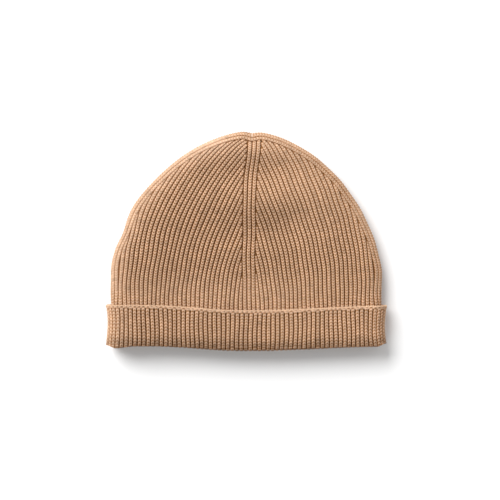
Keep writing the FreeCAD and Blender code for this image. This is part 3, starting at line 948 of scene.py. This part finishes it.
def wool(name, crest, flank, groove):
    """Heathered wool yarn, streaked along each stitch's legs; painted shade makes it darker in
    its grooves.
    """
    material, nodes, links, shader = new_material(name)
    shader.inputs["Roughness"].default_value = 0.95
    shader.inputs["Sheen Weight"].default_value = 0.06
    shader.inputs["Sheen Roughness"].default_value = 0.55
    shader.inputs["Sheen Tint"].default_value = WOOL_SHEEN
    shader.inputs["Specular IOR Level"].default_value = 0.08

    def attribute(key, output="Fac"):
        node = nodes.new("ShaderNodeAttribute")
        node.attribute_type = "GEOMETRY"
        node.attribute_name = key
        return node.outputs[output]

    def maths(operation, first, second):
        node = nodes.new("ShaderNodeMath")
        node.operation = operation
        for socket, value in zip(node.inputs, (first, second)):
            if isinstance(value, (int, float)):
                socket.default_value = value
            else:
                links.new(value, socket)
        return node.outputs[0]

    def noise(vector, scale, detail, rough):
        node = nodes.new("ShaderNodeTexNoise")
        node.inputs["Scale"].default_value = scale
        node.inputs["Detail"].default_value = detail
        node.inputs["Roughness"].default_value = rough
        links.new(vector, node.inputs["Vector"])
        return node.outputs["Fac"]

    stretch = nodes.new("ShaderNodeMapping")
    stretch.inputs["Scale"].default_value = FIBRE_STRETCH
    links.new(attribute("yarn", "Vector"), stretch.inputs["Vector"])
    place = nodes.new("ShaderNodeTexCoord").outputs["Object"]
    fibre = noise(stretch.outputs["Vector"], *FIBRE_NOISE)
    heather = noise(place, *HEATHER_NOISE)
    broad = noise(place, *BROAD_NOISE)

    ramp = nodes.new("ShaderNodeValToRGB")
    ramp.color_ramp.interpolation = "LINEAR"
    low, high = ramp.color_ramp.elements
    low.position, low.color = GROOVE_AT, (*groove, 1)
    high.position, high.color = CREST_AT, (*crest, 1)
    ramp.color_ramp.elements.new(FLANK_AT).color = (*flank, 1)
    links.new(attribute("openness"), ramp.inputs["Fac"])

    value = maths("MULTIPLY", attribute("tone"), TONE_SHARE)
    for texture, share in ((fibre, FIBRE_SHARE), (heather, HEATHER_SHARE), (broad, BROAD_SHARE)):
        value = maths("ADD", value, maths("MULTIPLY", maths("SUBTRACT", texture, 0.5), share))
    value = maths("ADD", value, 1.0)
    colour = nodes.new("ShaderNodeHueSaturation")
    links.new(value, colour.inputs["Value"])
    links.new(ramp.outputs["Color"], colour.inputs["Color"])
    links.new(colour.outputs["Color"], shader.inputs["Base Color"])
    add_bump(nodes, links, shader, fibre, strength=0.45, distance=0.0004)
    return material


def label_tape(name):
    """Smooth off-white woven tape with a fine crosswise weave."""
    material, nodes, links, shader = new_material(name)
    shader.inputs["Roughness"].default_value = 0.6
    shader.inputs["Sheen Weight"].default_value = 0.15
    place = nodes.new("ShaderNodeTexCoord").outputs["Object"]
    weave = nodes.new("ShaderNodeTexWave")
    weave.wave_type = "BANDS"
    weave.bands_direction = "Y"
    weave.inputs["Scale"].default_value = 700.0
    weave.inputs["Distortion"].default_value = 1.5
    links.new(place, weave.inputs["Vector"])
    tint = nodes.new("ShaderNodeValToRGB")
    low, high = tint.color_ramp.elements
    low.color, high.color = TAPE_DARK, TAPE_LIGHT
    links.new(weave.outputs["Fac"], tint.inputs["Fac"])
    links.new(tint.outputs["Color"], shader.inputs["Base Color"])
    add_bump(nodes, links, shader, weave.outputs["Fac"], strength=0.3, distance=0.0001)
    return material


rib_wool = wool("camel_rib_knit", KNIT_CREST, KNIT_FLANK, KNIT_GROOVE)
edge_wool = wool("camel_edge_yarn", EDGE_CREST, EDGE_FLANK, EDGE_GROOVE)
linking_wool = wool("camel_linking_yarn", LINKING_CREST, KNIT_FLANK, KNIT_GROOVE)
tape = label_tape("label_tape")


# ---------------------------------------------------------------- the pieces
SIDES = ((1, "front"), (-1, "back"))
HANDS = ((-1, "left"), (1, "right"))


def place_piece(obj, body, slot, *nodes):
    """A piece that rides on one body, or on none, and stands for these CAD nodes, which it hides.
    """
    if nodes:
        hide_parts(*nodes)
    if body is not None:
        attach(obj, body)


for side, side_name in SIDES:
    for hand, hand_name in HANDS:
        panel = quarter(f"{side_name}_{hand_name}_quarter_knit", side, hand, rib_wool)
        place_piece(panel, "hat", "rib_knit", f"{side_name}_{hand_name}_quarter")
    ribs = spine(f"{side_name}_spine_knit", side, rib_wool)
    place_piece(ribs, "hat", "rib_knit", f"{side_name}_fashioning_ribs")

for hand, hand_name in HANDS:
    ribs = side_band(f"{hand_name}_band_knit", hand, rib_wool)
    place_piece(ribs, "hat", "rib_knit", f"{hand_name}_fashioning_ribs")

flat_numbers = range(-LAST_FLAT_RIB, LAST_FLAT_RIB + 1)
curl_numbers = range(LAST_FLAT_RIB + 1, int(CUFF_RIBS) + 1)
for side, side_name in SIDES:
    cuff, joint = f"{side_name}_cuff", f"{side_name}_cuff_turn"
    turn_up = cuff_ribs(f"{side_name}_turn_up_knit", side, flat_numbers, rib_wool)
    place_piece(turn_up, cuff, "rib_knit", f"{side_name}_turn_up")
    edge = edge_loops(f"{side_name}_cast_on_loops", side, flat_numbers, edge_wool)
    place_piece(edge, cuff, "edge_yarn", f"{side_name}_cast_on_edge")

    for hand, hand_name in HANDS:
        numbers = [hand * number for number in curl_numbers]
        curl = cuff_ribs(f"{side_name}_{hand_name}_curl_knit", side, numbers, rib_wool)
        place_piece(curl, cuff, "rib_knit")
        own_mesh(curl)
        loops = edge_loops(f"{side_name}_{hand_name}_curl_loops", side, numbers, edge_wool)
        place_piece(loops, cuff, "edge_yarn")
        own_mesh(loops)
        corner = fold_ribs(f"{side_name}_{hand_name}_fold_corner", side, numbers, rib_wool)
        place_piece(corner, "hat", "rib_knit")
        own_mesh(corner)

    fold = fold_ribs(f"{side_name}_fold_knit", side, flat_numbers, rib_wool)
    place_piece(fold, None, "rib_knit", f"{side_name}_fold")
    neck_z, cuff_z = CUFF_TOP - 2 * ROLL_RADIUS, CUFF_TOP
    if side < 0:
        neck_z, cuff_z = CUFF_TOP - neck_z, CUFF_TOP - cuff_z
    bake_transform(fold)

seam = linking_seam("back_linking_seam", linking_wool)
place_piece(seam, "hat", "linking_yarn", "back_seam")
knot = closing_knot("crown_closing_knot", linking_wool)
place_piece(knot, "hat", "linking_yarn", "crown_closing_yarn")
label, label_flat = folded_label("care_label_tape", tape)
place_piece(label, "hat", "label_tape", "care_label")

# ---------------------------------------------------------------- floor, light and camera
FLOOR_REACH = 15.0
FLOOR_COLOUR = (0.93, 0.93, 0.93, 1)
LIGHT_FROM, LIGHT_ANGLE, LIGHT_STRENGTH = (-0.90, 1.08, 1.10), 45.0, 3.9
# The sky is brighter low down, so the floor's edge is white in views from the side.
SKY_RISE, SKY_STRENGTH = (0.22, 0.42), (1.0, 0.50)
LENS, SENSOR, FRAME_WIDTH = 100.0, 36.0, 0.400
CAMERA_XY = (0.003, -0.0074)

corners = [(-1, -1), (1, -1), (1, 1), (-1, 1)]
floor_mesh = bpy.data.meshes.new("floor")
floor_points = [(x * FLOOR_REACH, y * FLOOR_REACH, 0) for x, y in corners]
floor_mesh.from_pydata(floor_points, [], [(0, 1, 2, 3)])
floor = bpy.data.objects.new("floor", floor_mesh)
bpy.context.collection.objects.link(floor)
paper, _, _, paper_shader = new_material("floor_paper")
paper_shader.inputs["Base Color"].default_value = FLOOR_COLOUR
paper_shader.inputs["Roughness"].default_value = 1.0
paper_shader.inputs["Specular IOR Level"].default_value = 0.0
floor_mesh.materials.append(paper)

key_data = bpy.data.lights.new("key_upper_left", "SUN")
key_data.angle = math.radians(LIGHT_ANGLE)
key_data.energy = LIGHT_STRENGTH
key = bpy.data.objects.new("key_upper_left", key_data)
bpy.context.collection.objects.link(key)
key.rotation_euler = Vector(LIGHT_FROM).to_track_quat("Z", "Y").to_euler()

scene = bpy.context.scene
world = bpy.data.worlds.new("studio")
scene.world = world
world.use_nodes = True
sky_nodes, sky_links = world.node_tree.nodes, world.node_tree.links
sky_nodes["Background"].inputs["Color"].default_value = (1, 1, 1, 1)
heading = sky_nodes.new("ShaderNodeTexCoord")
heading_axes = sky_nodes.new("ShaderNodeSeparateXYZ")
strength = sky_nodes.new("ShaderNodeMapRange")
strength.inputs["From Min"].default_value, strength.inputs["From Max"].default_value = SKY_RISE
strength.inputs["To Min"].default_value, strength.inputs["To Max"].default_value = SKY_STRENGTH
sky_links.new(heading.outputs["Generated"], heading_axes.inputs["Vector"])
sky_links.new(heading_axes.outputs["Z"], strength.inputs["Value"])
sky_links.new(strength.outputs["Result"], sky_nodes["Background"].inputs["Strength"])
scene.view_settings.view_transform = "Standard"

camera_data = bpy.data.cameras.new("camera")
camera_data.sensor_width = SENSOR
camera_data.lens = LENS
camera = bpy.data.objects.new("camera", camera_data)
bpy.context.collection.objects.link(camera)
camera.location = (*CAMERA_XY, FRAME_WIDTH * LENS / SENSOR + CROWN_HALF * MM)
scene.camera = camera
